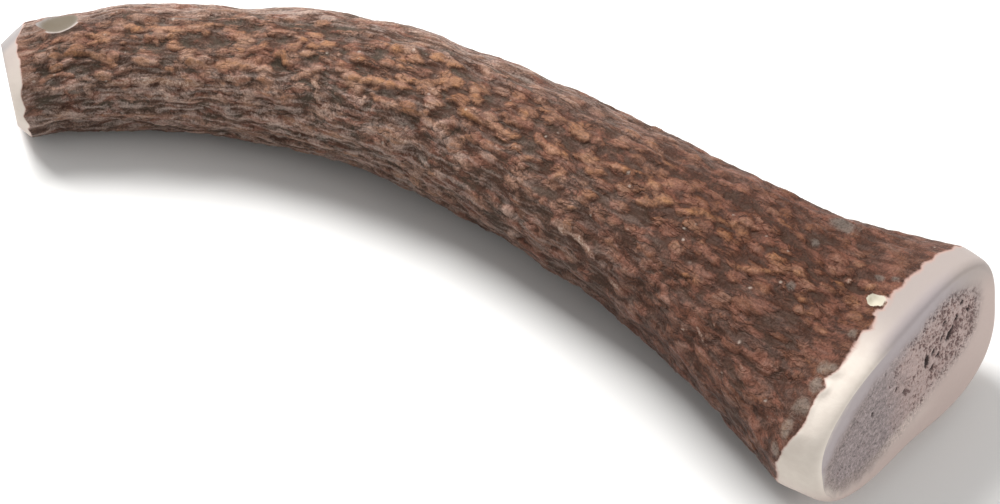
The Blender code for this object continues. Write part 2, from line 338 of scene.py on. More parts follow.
# The bark is less warm beside the narrow cut: the distances, and what is left of it there
TIP_REACH, TIP_WARMTH = (5.0, 32.0), (0.2, 1.0)
# The bark is calmer beside the cuts
CALM_END, CALM_LEAST, CALM_START, CALM_REACH, EDGE_CALM = 7.0, 0.25, 174.0, 6.0, 0.5
BROAD_MEAN = 0.6


# Mesh of the outline, with what the geometry tree and the materials read from it

def ring_distances():
    """Give the distances along the beam of all rings, closer together on the ground edges."""
    narrow = np.linspace(0, RIM_RING_REACH_NARROW, NARROW_RIM_RINGS, endpoint=False)
    bark = np.linspace(RIM_RING_REACH_NARROW, LENGTH - RIM_RING_REACH_WIDE, RINGS_ALONG)
    to_cut = RIM_RING_REACH_WIDE * np.linspace(1, 0, WIDE_RIM_RINGS + 1)[1:] ** RIM_RING_CROWDING
    return np.concatenate([narrow, bark, LENGTH - to_cut])


def outline_at(along, degrees):
    """Give the place on the straightened outline at an angle seen from the beam's middle."""
    _, half_width, half_height, _, _ = section_frames(np.array([along]))
    width, height = section_outline(along, half_width[0], half_height[0], ROUND)
    seen = np.degrees(np.unwrap(np.arctan2(height, width)))
    return np.array([np.interp(degrees, seen, width), np.interp(degrees, seen, height), along])


def soft_edge(reach):
    """Go from 1 in the middle of a mark to 0 a little outside its edge, where the reach is 1."""
    inside = np.clip((MARK_END - reach) / MARK_SOFTNESS, 0, 1)
    return inside * inside * (3 - 2 * inside)


def marked(places, wobble, spots, lines=(), gaps=None):
    """Give how much each place on the straightened outline belongs to the spots and lines."""
    share = np.zeros(len(places))
    for along, degrees, length, width, turn in spots:
        middle = outline_at(along, degrees)
        near = np.flatnonzero(np.linalg.norm(places - middle, axis=1) < length)
        across = np.hypot(*(places[near] - middle)[:, :2].T)
        across *= np.sign(middle[0] * places[near, 1] - middle[1] * places[near, 0])
        reach = oval_reach(places[near, 2] - along, across, length, width, turn)
        share[near] = np.maximum(share[near], soft_edge(reach + wobble[near]))
    for width, path in lines:
        width *= LINE_SWELL
        steps = np.linspace(0, len(path) - 1, LINE_STEPS * len(path))
        way = np.array([outline_at(np.interp(t, range(len(path)), [p[0] for p in path]),
                                   np.interp(t, range(len(path)), [p[1] for p in path]))
                        for t in steps])
        near = np.flatnonzero((places[:, 2] > way[0, 2] - width) & (places[:, 2] < way[-1, 2] + width))
        apart = np.linalg.norm(places[near, None] - way[None], axis=2)
        taper = np.minimum(1, LINE_END + LINE_TAPER * np.minimum(steps, len(path) - 1 - steps))
        reach = (apart / (taper * width / 2)).min(axis=1)
        share[near] = np.maximum(share[near], soft_edge(reach + wobble[near] + gaps[near]))
    return share


def edge_calm(along):
    """Give how much calmer the relief is beside the wide cut."""
    return EDGE_CALM * np.clip((along - CALM_START) / CALM_REACH, 0, 1)


def zones(places):
    """Give how warm, how grey and how red the bark is, and how rough."""
    along = places[:, 2]
    degrees = np.degrees(np.arctan2(places[:, 1], places[:, 0]))
    drift = np.clip((along - ZONE_DRIFT_START) / (ZONE_DRIFT_END - ZONE_DRIFT_START), 0, 1)
    at = degrees + ZONE_DRIFT * drift
    every = np.arange(0, 360, 30)
    warm, grey, rough = (np.interp(at, every, values, period=360) for values in (
        WARMTH_ROUND, GREYNESS_ROUND, ROUGHNESS_ROUND))
    red = np.clip((along - REDNESS_START) / (REDNESS_END - REDNESS_START), 0, 1)
    warm *= (1 - WARMTH_FADE * drift) * np.interp(along, TIP_REACH, TIP_WARMTH)
    grey *= 1 - GREYNESS_FADE * red
    rough *= np.clip(along / CALM_END, CALM_LEAST, 1)
    rough *= 1 - edge_calm(along)
    return np.stack([warm, grey, red], axis=1), rough * (1 - ROUGHNESS_FADE * drift)


def oval_reach(run, across, length, width, turn):
    """Give the distance from an oval's middle, as a share of its half sizes."""
    c, s = math.cos(math.radians(turn)), math.sin(math.radians(turn))
    return np.hypot((run * c + across * s) * 2 / length, (across * c - run * s) * 2 / width)


class Surface:
    """Points of the antler's outline, with the values that are kept at each point."""

    def __init__(self):
        self.points, self.faces, self.count = [], [], 0
        self.values = {name: [] for name in (
            "straight", "inward", "ground", "broad", "cut", "marrow", "pit")}

    def add(self, points, **values):
        """Add points, and give the number of the first one. A value that isn't given is 0."""
        first = self.count
        self.points.append(points)
        for name, column in self.values.items():
            column.append(values.get(name, np.zeros(len(points))))
        self.count += len(points)
        return first


def add_tube(surface):
    """Add the rings of the beam. Give the plan of the first and the last section."""
    along = ring_distances()
    middle, half_width, half_height, outward, upward = section_frames(along)
    ends = []
    for row, distance in enumerate(along):
        angle = even_angles(distance, half_width[row], half_height[row])
        width, height = section_outline(distance, half_width[row], half_height[row], angle)
        reach = np.hypot(width, height)
        side = (width[:, None] * outward[row] + height[:, None] * upward[row]) / reach[:, None]
        ground = ground_depth(distance, angle)
        broad = np.array([bark_depth(w, h, distance) for w, h in zip(width, height)])
        straight = np.stack([width, height, np.full(SEGMENTS_AROUND, distance)], axis=1)
        edge = straight[:, :2] * (1 - ground / reach)[:, None]
        marrow = np.full(SEGMENTS_AROUND, -MARROW_FADE)
        if row in (0, len(along) - 1):
            hollow = WIDE_MARROW if row else edge * NARROW_MARROW_SHARE
            ends.append((middle[row], outward[row], upward[row], edge, hollow))
            marrow = depth_inside(edge, hollow)
        first = surface.add(middle[row] + side * reach[:, None], straight=straight, inward=-side,
                            ground=ground, broad=broad, marrow=marrow)
        if row:
            here = first + np.arange(SEGMENTS_AROUND)
            beside = np.roll(here, -1)
            strip = (here - SEGMENTS_AROUND, beside - SEGMENTS_AROUND, beside, here)
            surface.faces.extend(np.stack(strip, axis=1).tolist())
    return ends


def depth_inside(points, outline):
    """Give how far points lie inside a closed outline, less than 0 outside it."""
    nearest = np.full(len(points), np.inf)
    within = np.zeros(len(points), bool)
    for a, b in zip(outline, np.roll(outline, -1, axis=0)):
        run = b - a
        share = np.clip((points - a) @ run / (run @ run), 0, 1)
        nearest = np.minimum(nearest, np.hypot(*(points - a - share[:, None] * run).T))
        if a[1] != b[1]:
            crossing = a[0] + (points[:, 1] - a[1]) * run[0] / run[1]
            within ^= ((a[1] > points[:, 1]) != (b[1] > points[:, 1])) & (points[:, 0] < crossing)
    return np.where(within, nearest, -nearest)


def add_cut(surface, end, first, along, grain, forward):
    """Close one cut with an even mesh of small triangles, with its depth inside the marrow."""
    middle, outward, upward, edge, hollow = end
    low, high = edge.min(axis=0), edge.max(axis=0)
    rows = np.arange(low[1], high[1], grain * math.sqrt(3) / 2)
    lattice = np.array([(x + (i % 2) * grain / 2, y) for i, y in enumerate(rows)
                        for x in np.arange(low[0], high[0], grain)])
    angle = np.arctan2(lattice[:, 1], lattice[:, 0])
    edge_angle = np.arctan2(edge[:, 1], edge[:, 0])
    order = np.argsort(edge_angle)
    reach = np.interp(angle, edge_angle[order], np.hypot(*edge.T)[order], period=2 * math.pi)
    lattice = lattice[np.hypot(*lattice.T) < reach - grain * CUT_MARGIN]
    flat = [Vector(p) for p in np.concatenate([edge, lattice])]
    count = len(edge)
    ring = [(i, (i + 1) % count) for i in range(count)]
    kept, _, triangles, sources, _, _ = geometry.delaunay_2d_cdt(flat, ring, [], 1, CUT_WELD)
    if len(kept) != len(flat):
        raise RuntimeError("the cut's mesh lost or gained points")
    straight = np.column_stack([lattice, np.full(len(lattice), along)])
    normal = np.cross(outward, upward) * (1 if forward else -1)
    pit = np.zeros(len(lattice))
    for x, y, length, width, turn in PITS if forward else ():
        across = oval_reach(lattice[:, 0] - x, lattice[:, 1] - y, length, width, turn)
        pit = np.maximum(pit, soft_edge(across))
    inner = surface.add(middle + lattice[:, :1] * outward + lattice[:, 1:] * upward,
                        straight=straight, inward=np.tile(-normal, (len(lattice), 1)),
                        cut=np.ones(len(lattice)), pit=pit, marrow=depth_inside(lattice, hollow))
    number = [first + s[0] if s[0] < count else inner + s[0] - count for s in sources]
    for triangle in triangles:
        corners = [number[i] for i in triangle]
        surface.faces.append(corners if forward else corners[::-1])


def add_bark_columns(columns):
    """Add the bark's marks and zones at every point, with the chip and the sanded spot."""
    places, bark = columns["straight"], 1 - columns["cut"]
    wobble, gaps = (size * np.array([noise.noise(Vector(place) / length) for place in places])
                    for length, size in (MARK_WOBBLE, LINE_GAPS))
    mark = np.stack([
        marked(places, wobble, BEADS + EDGE_LUMPS, RUBBED_RIDGES, gaps),
        marked(places, wobble, SCRAPES, SCRAPED_LINES, gaps),
        marked(places, wobble, STAINS)], axis=1)
    crust, lump, chipped = (marked(places, wobble, spots) * bark
                            for spots in (CRUSTS + EDGE_LUMPS, EDGE_LUMPS, CHIPS))
    away = places - outline_at(*SPOT_PLACE)
    sanded = np.clip(1 - (away[:, 2] / SPOT_HALF_LENGTH)**2
                     - (np.hypot(away[:, 0], away[:, 1]) / SPOT_HALF_WIDTH)**2, 0, 1) * bark
    zone, rough = zones(places)
    rough *= bark * (1 - SPOT_SMOOTH * np.minimum(SPOT_EDGE * sanded, 1))
    ground = np.maximum.reduce([columns["ground"] * (1 - LUMP_STANDING * lump),
                                chipped * CHIP_DEPTH, sanded * SPOT_DEPTH])
    broad = columns["broad"] + edge_calm(places[:, 2]) * (BROAD_MEAN - columns["broad"])
    columns.update(zone=zone * bark[:, None], mark=mark * bark[:, None], rough=rough, crust=crust,
                   sanded=sanded, chipped=chipped, ground=ground, broad=broad)


def outline_mesh():
    """Make the closed mesh of the antler's outline."""
    surface = Surface()
    narrow, wide = add_tube(surface)
    last = surface.count - SEGMENTS_AROUND
    add_cut(surface, narrow, 0, 0.0, NARROW_CUT_GRAIN, forward=False)
    add_cut(surface, wide, last, LENGTH, WIDE_CUT_GRAIN, forward=True)
    columns = {name: np.concatenate(column) for name, column in surface.values.items()}
    add_bark_columns(columns)
    mesh = bpy.data.meshes.new(NODE + "_surface")
    mesh.from_pydata(np.concatenate(surface.points) * MM, [], surface.faces)
    for name, values in columns.items():
        kind, field = ("FLOAT_VECTOR", "vector") if values.ndim == 2 else ("FLOAT", "value")
        column = mesh.attributes.new(name, kind, "POINT")
        column.data.foreach_set(field, values.astype(np.float32).ravel())
    mesh.shade_smooth()
    return mesh


# Node trees

RANGE_SOCKETS = ("Value", "From Min", "From Max", "To Min", "To Max")
NOISE_SOCKETS = ("Vector", "Scale", "Detail", "Roughness")

# What a row of nodes can be: the node, its settings, the sockets that the row fills in order, and
# the first of the outputs that it gives
RAMP = ("ShaderNodeMapRange", {}, RANGE_SOCKETS, 0)
EASE = ("ShaderNodeMapRange", {"interpolation_type": "SMOOTHSTEP"}, RANGE_SOCKETS, 0)
BLEND = ("ShaderNodeMix", {"data_type": "FLOAT"}, (0, 2, 3), 0)
PAINT = ("ShaderNodeMix", {"data_type": "RGBA"}, (0, 6, 7), 2)
NOISE = ("ShaderNodeTexNoise", {}, NOISE_SOCKETS, 0)
NOISE_VECTOR = ("ShaderNodeTexNoise", {}, NOISE_SOCKETS, 1)
SEEDED_NOISE = ("ShaderNodeTexNoise", {"noise_dimensions": "4D"}, ("W", *NOISE_SOCKETS), 0)
CELLS = ("ShaderNodeTexVoronoi", {}, ("Vector", "Scale"), 0)
PARTS = ("ShaderNodeSeparateXYZ", {}, (0,), 0)
JOINED = ("ShaderNodeCombineXYZ", {}, (0, 1, 2), 0)
PLUS, MINUS, TIMES, DIVIDED, TIMES_PLUS, LARGER, BELOW, UNSIGNED = (
    ("ShaderNodeMath", {"operation": operation}, (0, 1, 2), 0) for operation in (
        "ADD", "SUBTRACT", "MULTIPLY", "DIVIDE", "MULTIPLY_ADD", "MAXIMUM", "LESS_THAN", "ABSOLUTE"))
CLAMPED_PLUS = ("ShaderNodeMath", {"operation": "ADD", "use_clamp": True}, (0, 1), 0)
MOVED, MOVED_BACK, STRETCHED, SHRUNK = (
    ("ShaderNodeVectorMath", {"operation": operation}, (0, 1), 0) for operation in (
        "ADD", "SUBTRACT", "MULTIPLY", "DIVIDE"))
SCALED = ("ShaderNodeVectorMath", {"operation": "SCALE"}, (0, "Scale"), 0)
BUMP = ("ShaderNodeBump", {}, ("Strength", "Distance", "Height"), 0)
SHADER = ("ShaderNodeBsdfPrincipled", {}, (
    "Base Color", "Roughness", "Specular IOR Level", "Normal"), 0)
SURFACE = ("ShaderNodeOutputMaterial", {}, ("Surface",), 0)
SHIFTED_POINTS = ("GeometryNodeSetPosition", {}, ("Geometry", "Offset"), 0)
REAL_MESH = ("GeometryNodeRealizeInstances", {}, ("Geometry",), 0)
IN_MATERIAL = ("GeometryNodeSetMaterial", {}, ("Geometry", "Material", "Selection"), 0)
ABOVE = ("FunctionNodeCompare", {"data_type": "FLOAT", "operation": "GREATER_THAN"}, (0, 1), 0)
RESULT = ("NodeGroupOutput", {}, ("Geometry",), 0)

# What each tree reads of the mesh, and which of its columns are vectors
KEPT_VECTORS = ("straight", "inward", "mark", "zone")
KEPT_FOR_RELIEF = (*KEPT_VECTORS, "rough", "ground", "broad", "cut", "marrow", "pit")
KEPT_FOR_BARK = ("straight", "mark", "zone", "rough", "ground", "broad", "crust", "sanded", "chipped")
KEPT_FOR_CUT = ("straight", "marrow", "pit")


def add(tree, kind, settings=None, links=None):
    """Add a node with its settings, and link or fill its sockets."""
    node = tree.nodes.new(kind)
    for name, value in (settings or {}).items():
        setattr(node, name, value)
    for socket, source in (links or {}).items():
        if isinstance(source, bpy.types.NodeSocket):
            tree.links.new(source, node.inputs[socket])
        else:
            node.inputs[socket].default_value = source
    return node


def row_outputs(tree, known, kind, *given):
    """Add the node of one row, and the nodes of the rows nested in it. Give its outputs."""
    node_kind, settings, sockets, first = kind
    values = []
    for value in given:
        if isinstance(value, list):
            value = row_outputs(tree, known, *value)[0]
        values.append(known[value] if isinstance(value, str) else value)
    return add(tree, node_kind, settings, dict(zip(sockets, values))).outputs[first:]


def add_rows(tree, known, *rows):
    """Add nodes row by row, and keep their outputs in what is known.

    A row has the name of its output, or the names of its outputs in order, then what it is, and
    then what its sockets take: values, names of what is known, and lists, which are nested rows.
    Names with a capital are the settings and the inputs of the tree.
    """
    for names, *row in rows:
        outputs = row_outputs(tree, known, *row)
        known.update(zip((names,) if isinstance(names, str) else names, outputs))


def add_bark_pattern(tree, known):
    """Draw the nodules, ribs and cracks of the bark on the straightened beam.

    Makes known the height, from 0 in the cracks to 1 on the nodules, how far the bark is sunk,
    the frayed place that it is drawn at, a chance value for each nodule, and the three marks with
    frayed edges. The same nodes shape the mesh and colour it, so the colours follow the relief.
    """
    add_rows(
        tree, known,
        ("swing", MOVED_BACK, [NOISE_VECTOR, "straight", 0.15, 1.0, 0.6], (0.5, 0.5, 0.5)),
        ("fray", MOVED_BACK, [NOISE_VECTOR, "straight", 0.7, 2.0, 0.6], (0.5, 0.5, 0.5)),
        ("place", MOVED, "straight", [JOINED, "Seed"]),
        ("place", MOVED, "place", [SCALED, "swing", "Waver"]),
        ("place", MOVED, "place", [SCALED, "fray", "Fray"]),
        ("lattice", SHRUNK, "place", [JOINED, "Ridge pitch", "Ridge pitch", "Ridge length"]),
        (("warm", "grey", "red"), PARTS, "zone"),
        (("bead", "scrape", "dark"), PARTS, [MOVED, "mark", "fray"]),
        *((mark, RAMP, mark, 0.22, 1.15) for mark in ("bead", "scrape", "dark")))

    # Nodules with strands between them, and small pebbles
    add_rows(
        tree, known,
        (("to nodule", "chances"), CELLS, "lattice", 1.0),
        (("tallness", "chance"), PARTS, "chances"),
        ("nodule", TIMES, [EASE, "to nodule", 0.72, 0.28], [RAMP, "tallness", 0.0, 1.0, 0.4, 1.0]),
        ("strand", EASE, [NOISE, "lattice", 0.9, 1.5, 0.5], 0.42, 0.82, 0.0, 0.9),
        ("knobbly", RAMP, [NOISE, "lattice", 0.4, 1.0], 0.26, 0.4),
        ("knobs", BLEND, "knobbly", "strand", [LARGER, "nodule", "strand"]),
        ("pebble", EASE, [CELLS, "lattice", 2.1], 0.6, 0.1, 0.0, 0.2))

    # Long ribs on the sheltered side, and fine cracks
    add_rows(
        tree, known,
        ("ribs", EASE, [NOISE, [STRETCHED, "lattice", (1.5, 1.5, 0.14)], 1.0, 1.5, 0.5], 0.36, 0.62),
        ("relief", BLEND, [RAMP, "grey", 0.4, 0.9, 0.0, 0.7], "knobs", "ribs"),
        ("waves", NOISE, [STRETCHED, "lattice", (1.1, 1.1, 0.7)], 1.0, 2.0),
        ("crack", EASE, [UNSIGNED, [MINUS, "waves", 0.5]], 0.03, 0.0, 0.0, -0.25),
        ("cracked", CLAMPED_PLUS, [TIMES_PLUS, "relief", 0.85, "pebble"], "crack"))

    # Beads swell, scrapes are level and stain lies in hollows
    add_rows(
        tree, known,
        ("height", BLEND, "rough", 0.5, "cracked"),
        ("height", BLEND, "bead", "height", [TIMES_PLUS, "cracked", 0.65, 0.5]),
        ("height", BLEND, "scrape", "height", 0.7),
        ("height", BLEND, "dark", "height", 0.0),
        ("deepest", TIMES, [RAMP, "rough", 0.0, 1.0, 0.45, 1.0], "Furrow depth"),
        ("sunk", TIMES_PLUS, [MINUS, 1.0, "height"], "deepest", "broad"))


def add_marrow_pattern(tree, known):
    """Draw the pores of the marrow: 0 on the bone between them and 1 in their middle.

    Makes known the depth inside a pore's edge too, which is lowest on the threads between pores.
    """
    add_rows(
        tree, known,
        ("outward", PARTS, "straight"),
        ("bent", MOVED, "straight", [SCALED, [NOISE_VECTOR, "straight", 1.1, 2.0], 1.3]),
        ("to pore", CELLS, "bent", [DIVIDED, 1.0, "Pore spacing"]),
        ("lean", RAMP, "outward", -9.0, 11.0, -0.16, 0.12),
        ("openness", PLUS, [NOISE, "straight", 0.35, 3.0], "lean"),
        ("thread", MINUS, [RAMP, "openness", 0.36, 0.68, 0.1, 0.5], "to pore"),
        ("pore", EASE, "thread", -0.12, 0.16))


def relief_tree(sizes):
    """Build the tree that sinks the bark's furrows and the marrow's pores into the outline."""
    tree = bpy.data.node_groups.new("antler relief", "GeometryNodeTree")
    inputs = {"Geometry": "Geometry", **dict.fromkeys(sizes, "Float"), "Bark material": "Material",
              "Cut material": "Material"}
    for name, kind in inputs.items():
        tree.interface.new_socket(name, in_out="INPUT", socket_type="NodeSocket" + kind)
    tree.interface.new_socket("Geometry", in_out="OUTPUT", socket_type="NodeSocketGeometry")
    given = add(tree, "NodeGroupInput").outputs
    known = {name: given[name] for name in inputs}
    for name in KEPT_FOR_RELIEF:
        kind = "FLOAT_VECTOR" if name in KEPT_VECTORS else "FLOAT"
        known[name] = add(tree, "GeometryNodeInputNamedAttribute", {"data_type": kind},
                          {"Name": name}).outputs[0]
    add_bark_pattern(tree, known)
    add_marrow_pattern(tree, known)
    add_rows(
        tree, known,
        ("grain", SEEDED_NOISE, "Seed", "place", 1.1, 2.0),
        ("side", LARGER, [TIMES_PLUS, "grain", "Grain depth", "sunk"], "ground"),
        ("hole", TIMES, "pore", [EASE, "marrow", -0.3, 0.7]),
        ("hole", TIMES, [TIMES_PLUS, "pit", 2.0, "hole"], "Pore depth"),
        ("depth", TIMES, [BLEND, "cut", "side", "hole"], MM),
        ("carved", SHIFTED_POINTS, "Geometry", [SCALED, "inward", "depth"]),
        ("barked", IN_MATERIAL, [REAL_MESH, "carved"], "Bark material"),
        ("sawn", IN_MATERIAL, "barked", "Cut material", [ABOVE, "cut", 0.01]),
        ("result", RESULT, "sawn"))
    return tree


def apply_relief(mesh, sizes, materials):
    """Run the relief tree on the outline, and give the plain mesh that it makes."""
    carrier = bpy.data.objects.new("antler_outline", mesh)
    bpy.context.scene.collection.objects.link(carrier)
    tree = relief_tree(sizes)
    modifier = carrier.modifiers.new("relief", "NODES")
    modifier.node_group = tree
    values = {**sizes, "Bark material": materials[0], "Cut material": materials[1]}
    for item in tree.interface.items_tree:
        if item.in_out == "INPUT" and item.name in values:
            modifier[item.identifier] = values[item.name]
    shaped = carrier.evaluated_get(bpy.context.evaluated_depsgraph_get())
    result = bpy.data.meshes.new_from_object(shaped)
    bpy.data.objects.remove(carrier)
    return result


def fit_to_solid(mesh):
    """Lay the mesh where the solid lies, and keep it inside the solid's box."""
    points = np.empty(len(mesh.vertices) * 3, np.float32)
    mesh.vertices.foreach_get("co", points)
    points = points.reshape(-1, 3)
    low, high = points.min(axis=0), points.max(axis=0)
    box_low, box_high = np.array(CAD_LOW), np.array(CAD_HIGH)
    scale = np.minimum(1.0, (box_high - box_low) / (high - low))
    middle, box_middle = (low + high) / 2, (box_low + box_high) / 2
    middle[2], box_middle[2] = low[2], box_low[2]
    shift = Matrix.Translation(Vector(box_middle)) @ Matrix.Diagonal(
        Vector((*scale, 1.0))) @ Matrix.Translation(-Vector(middle))
    mesh.transform(shift)


# Materials

# Depth in millimetres and strength of the fine grain that only the shading shows, and the shine
BARK_BUMP, CUT_BUMP, CUT_BUMP_STRENGTH = 0.65, 0.4, 0.6
BARK_SPECULAR, CUT_SPECULAR, CUT_ROUGHNESS = 0.15, 0.35, 0.6


def linear(hex_colour):
    """Turn an sRGB hex colour into the linear colour that Blender works in."""
    channels = [int(hex_colour[i:i + 2], 16) / 255 for i in (1, 3, 5)]
    return tuple(c / 12.92 if c <= 0.04045 else ((c + 0.055) / 1.055) ** 2.4 for c in channels)


def bare_material(name, kept=(), chosen=None):
    """Start a material that knows what it reads of the mesh, and the chosen settings."""
    material = bpy.data.materials.new(name)
    material.use_nodes = True
    tree = material.node_tree
    tree.nodes.clear()
    known = dict(chosen or {})
    for column in kept:
        node = add(tree, "ShaderNodeAttribute", {"attribute_name": column})
        known[column] = node.outputs["Vector" if column in KEPT_VECTORS else "Fac"]
    return material, tree, known


def add_bone_wall(tree, known):
    """Colour the dense bone: cream on the inner side of the bend and pinker on the outer side, darker
    there and towards the underside as painted shade.

    Painted shade makes it greyer where the top of the narrow cut's edge is ground deepest.
    """
    add_rows(
        tree, known,
        (("outward", "upward", "onward"), PARTS, "straight"),
        ("dusky", RAMP, [NOISE, "straight", 0.3, 5.0, 0.65], 0.38, 0.64),
        # Pinker on the outer side and the underside, and darker there as painted shade
        ("rosy", LARGER, [EASE, "outward", -16.0, 10.0], [EASE, "upward", 0.0, -10.0]),
        # Painted shade: the bone is dulled on top, where the overhead lamp lights it most
        ("greyed", TIMES, [EASE, "upward", 3.0, 12.0, 0.0, 0.8], [EASE, "outward", -14.0, 2.0]),
        # Painted shade on top of the narrow cut's ground edge
        ("tip facet", TIMES, [BELOW, "onward", 12.0], [EASE, "outward", 0.0, 3.0, 0.0, 0.85]),
        ("wall", PAINT, "dusky", "Cream", "Shaded"),
        ("wall", PAINT, "rosy", "wall", "Rose"),
        ("wall", PAINT, "greyed", "wall", "Top"),
        ("wall", PAINT, "tip facet", "wall", "Facet"))


def bark_material(chosen):
    """Antler bark: bone that grew under velvet, stained by it and rubbed on its ridges.

    The eye sees dark stain in the furrows, deepened with painted shade, tan and orange where the
    ridges are rubbed, a dull grey bloom on the sheltered side, and a soft waxy shine. The grain is
    drawn coarser than the real 0.1 mm, so that it shows from a step away.
    """
    material, tree, known = bare_material("antler_bark_grown", KEPT_FOR_BARK, chosen)
    add_bark_pattern(tree, known)
    add_bone_wall(tree, known)

    # Clouds of stain that run along the beam, fine grain, slow drifts of hue and long streaks
    for name, stretch, *field in (
            ("cloud", 0.8, 0.34, 5.0, 0.64), ("grain", 0.9, 2.6, 4.0, 0.7),
            ("drift", 0.5, 0.42, 3.0, 0.6), ("bloom", 0.6, 0.3, 5.0, 0.7),
            ("streak", 0.17, 1.1, 3.0, 0.5)):
        add_rows(tree, known, (name, NOISE, [STRETCHED, "place", (1.0, 1.0, stretch)], *field))

    # The relief with clouds and grain in it, and how deep the edge is ground through it
    add_rows(
        tree, known,
        ("grainy", TIMES_PLUS, "grain", 0.7, -0.35),
        ("loose", PLUS, [TIMES_PLUS, "cloud", 1.2, -0.6], "grainy"),
        ("crest", TIMES_PLUS, "loose", 0.45, "height"),
        ("rise", TIMES_PLUS, "loose", 0.6, "height"),
        ("streaky", TIMES_PLUS, "grainy", 0.5, "streak"),
        ("over", MINUS, "ground", "sunk"))

    # Mixed paints: mottled brown, red and grey, hues of single nodules, stain that is green where
    # moss was, what the rubbed ridges and beads show, crust and scraped bark
    add_rows(
        tree, known,
        ("shade", EASE, [TIMES_PLUS, "height", 0.9, "loose"], -0.07, 0.93),
        ("bark", PAINT, "shade", "Dark brown", "Light brown"),
        ("reddish", PAINT, "shade", "Dark red", "Light red"),
        ("greyish", PAINT, "shade", "Dark grey", "Light grey"),
        ("hues", PAINT, [EASE, "chance", 0.2, 0.45], "Silver", "Flush"),
        ("hues", PAINT, [EASE, "chance", 0.55, 0.8], "hues", "Orange"),
        ("mossy", TIMES, [EASE, "red", 0.0, 1.0, 1.0, 0.3], [EASE, "bloom", 0.4, 0.6]),
        ("stain", PAINT, "mossy", "Furrow", "Green stain"),
        ("rubbing", PAINT, [EASE, "drift", 0.4, 0.62], "Orange", "Tan"),
        ("polish", PAINT, [EASE, "drift", 0.36, 0.66], "Amber", "Tan"),
        ("worn", EASE, [TIMES_PLUS, "loose", 0.6, "bead"], 0.3, 0.95),
        ("polish", PAINT, "worn", "Flank", "polish"),
        ("powder", PAINT, [EASE, "crest", 0.5, 1.5], "Dark crust", "Crust"),
        ("pale", PAINT, [EASE, "grain", 0.35, 0.65], "Tan", "Scrape"))

    # How much of each coat shows: a share that goes from a least to a most while a level goes
    # from a start to an end, times what else holds it back
    add_rows(
        tree, known,
        ("flushed", EASE, "drift", 0.48, 0.64, 0.0, 0.65),
        ("varied", TIMES, [EASE, "crest", 0.4, 1.0, 0.0, 0.5], "rough"),
        ("varied", TIMES, "varied", [EASE, "red", 0.0, 1.0, 1.0, 0.25]),
        # Stain in the furrows, which also darkens them as painted shade
        ("in furrow", EASE, [TIMES_PLUS, "loose", 0.35, "height"], 0.4, 0.0, 0.0, 0.85),
        ("silvered", TIMES, [EASE, "streaky", 0.42, 0.72, 0.0, 0.75], "grey"),
        ("lined", TIMES, [EASE, "streaky", 0.46, 0.28, 0.0, 0.6], "grey"),
        ("tanned", TIMES, [EASE, "crest", 0.3, 1.0, 0.0, 0.9], [EASE, "bloom", 0.36, 0.56, 0.25, 1.0]),
        ("tanned", TIMES, "tanned", "warm"),
        # Stain ringed round the foot of each bead, partly painted shade where the bead meets the bark
        ("ringed", TIMES, [EASE, "bead", 0.02, 0.15], [EASE, "bead", 0.45, 0.2, 0.0, 0.3]),
        ("rubbed", TIMES, [EASE, "bead", 0.05, 0.85], [EASE, "crest", 0.4, 1.3, 0.2, 0.9]),
        ("crusted", EASE, [TIMES_PLUS, "loose", 1.4, "crust"], 0.3, 1.0, 0.0, 0.75),
        ("soaked", TIMES, [EASE, "loose", 0.5, -0.3, 0.4, 0.9], "dark"),
        ("scraped", EASE, [TIMES_PLUS, "loose", 1.3, "scrape"], 0.3, 1.4, 0.0, 0.75),
        # Sparse pale specks: partly bone showing through, partly painted glints
        (("to speck", "luck"), CELLS, "place", 0.5),
        ("speck", TIMES, [EASE, "to speck", 0.22, 0.06, 0.0, 0.6], [EASE, [PARTS, "luck"], 0.88, 0.9]))

    # The coats over the brown, from the first to the last
    for share, coat in (
            ("red", "reddish"), ("grey", "greyish"), ("flushed", "Flush"), ("varied", "hues"),
            ("in furrow", "stain"), ("silvered", "Silver"), ("lined", "stain"), ("tanned", "rubbing"),
            ("ringed", "stain"), ("rubbed", "polish"), ("crusted", "powder"), ("soaked", "stain"),
            ("scraped", "pale"), ("speck", "Scrape")):
        add_rows(tree, known, ("bark", PAINT, share, "bark", coat))

    # Speckled all over, and darker under the inner side and towards the narrow cut, which is painted
    # shade
    add_rows(
        tree, known,
        # Painted shade: how much the colour is darkened under the inner side, and more towards the
        # narrow cut
        ("under", TIMES, [EASE, "upward", 4.0, -10.0, 0.0, 0.35], [EASE, "outward", 4.0, -6.0]),
        ("under", PLUS, "under", [EASE, "onward", 34.0, 12.0, 0.0, 0.14]),
        ("speckle", TIMES, [TIMES_PLUS, "grain", 1.7, 0.12], [MINUS, 1.0, "under"]),
        ("bark", SCALED, "bark", "speckle"))

